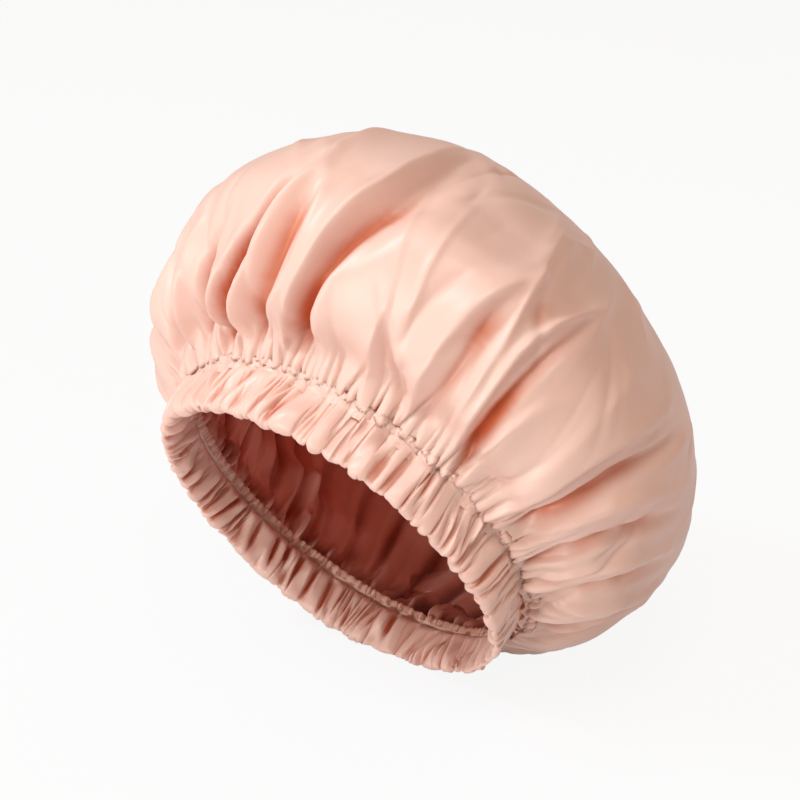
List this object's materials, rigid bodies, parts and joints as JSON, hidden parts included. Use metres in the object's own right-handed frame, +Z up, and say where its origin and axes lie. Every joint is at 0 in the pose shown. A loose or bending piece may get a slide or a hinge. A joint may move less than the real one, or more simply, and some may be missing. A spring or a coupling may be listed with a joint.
{
  "type": "shower cap",
  "caption": "Gathered satin bouffant shower cap lying on its side: a puffed crown with a waterproof lining, held in a pleated casing with an elastic band inside.",
  "frame": {"origin": "middle of the bounding box at the surface the cap lies on", "axes": "+Z up from the surface, -Y the side that the mouth faces, tipped down by the lying tilt, +X to the right seen from the mouth, along the crown's width"},
  "size_m": [0.2316, 0.1892, 0.2198],
  "materials": {
    "crown_shell": "peach satin, soft sheen",
    "waterproof_lining": "thin coated film cloth, smooth",
    "elastic_casing": "peach satin, soft sheen, pleated",
    "elastic_band": "woven elastic, matte",
    "elastic_join_tack": "spun thread, matte",
    "casing_seam_needle_thread": "spun thread, matte",
    "casing_seam_bobbin_thread": "spun thread, matte",
    "hem_edge_overlock": "textured thread, matte"
  },
  "bodies": {
    "root": {"crown_shell": "crown_shell", "waterproof_lining": "waterproof_lining", "elastic_casing": "elastic_casing", "elastic_band": "elastic_band", "elastic_join_tack": "elastic_join_tack", "casing_seam_needle_thread": "casing_seam_needle_thread", "casing_seam_bobbin_thread": "casing_seam_bobbin_thread", "hem_edge_overlock": "hem_edge_overlock"}
  },
  "joints": []
}
